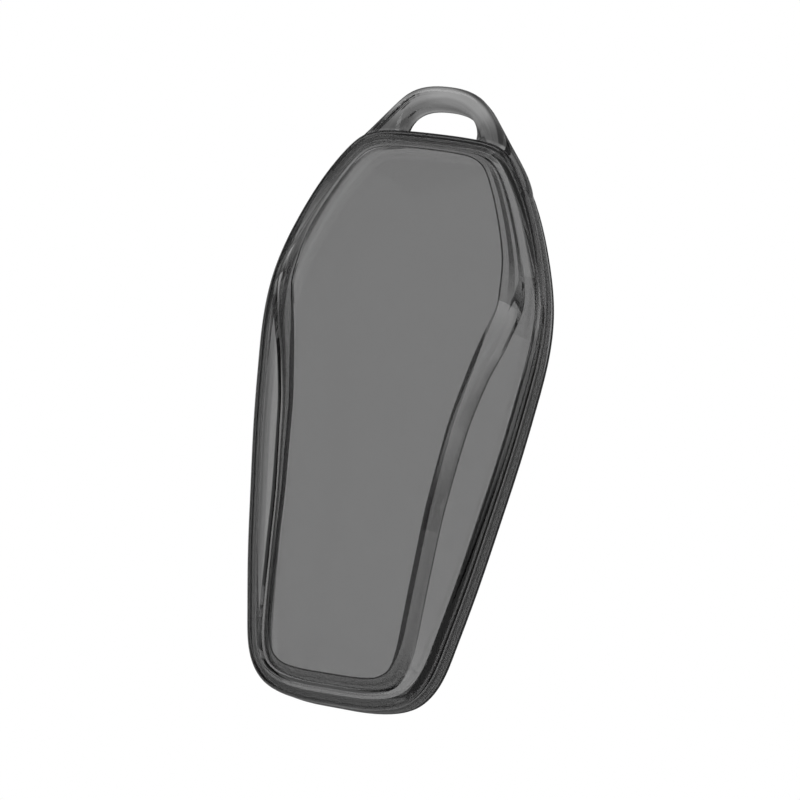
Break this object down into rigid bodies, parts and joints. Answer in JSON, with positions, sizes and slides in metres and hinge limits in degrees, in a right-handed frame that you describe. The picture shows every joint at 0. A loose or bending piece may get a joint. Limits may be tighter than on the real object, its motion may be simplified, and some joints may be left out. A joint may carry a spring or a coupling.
{
  "type": "key fob cover",
  "caption": "Two-shell clear soft plastic cover for a smart key, with a crowned waisted front panel, sloping flanks, a rounded rim and a moulded key ring loop at the top end.",
  "frame": {"origin": "centre of the outside box in plan, on the back face the cover rests on", "axes": "+Z out of the front panel, +Y along the length towards the key ring loop, +X across the cover"},
  "size_m": [0.0422, 0.0926, 0.0156],
  "materials": {
    "clear_front": "smoke-tinted clear soft thermoplastic polyurethane, glossy",
    "clear_rear": "smoke-tinted clear soft thermoplastic polyurethane, glossy"
  },
  "bodies": {
    "rear": {"rear_shell": "clear_rear"},
    "front": {"front_shell": "clear_front"}
  },
  "joints": [
    {"name": "front_lift", "type": "slide", "parent": "rear", "child": "front", "axis": [0, 0, 1], "range_m": [0, 0.03]}
  ]
}
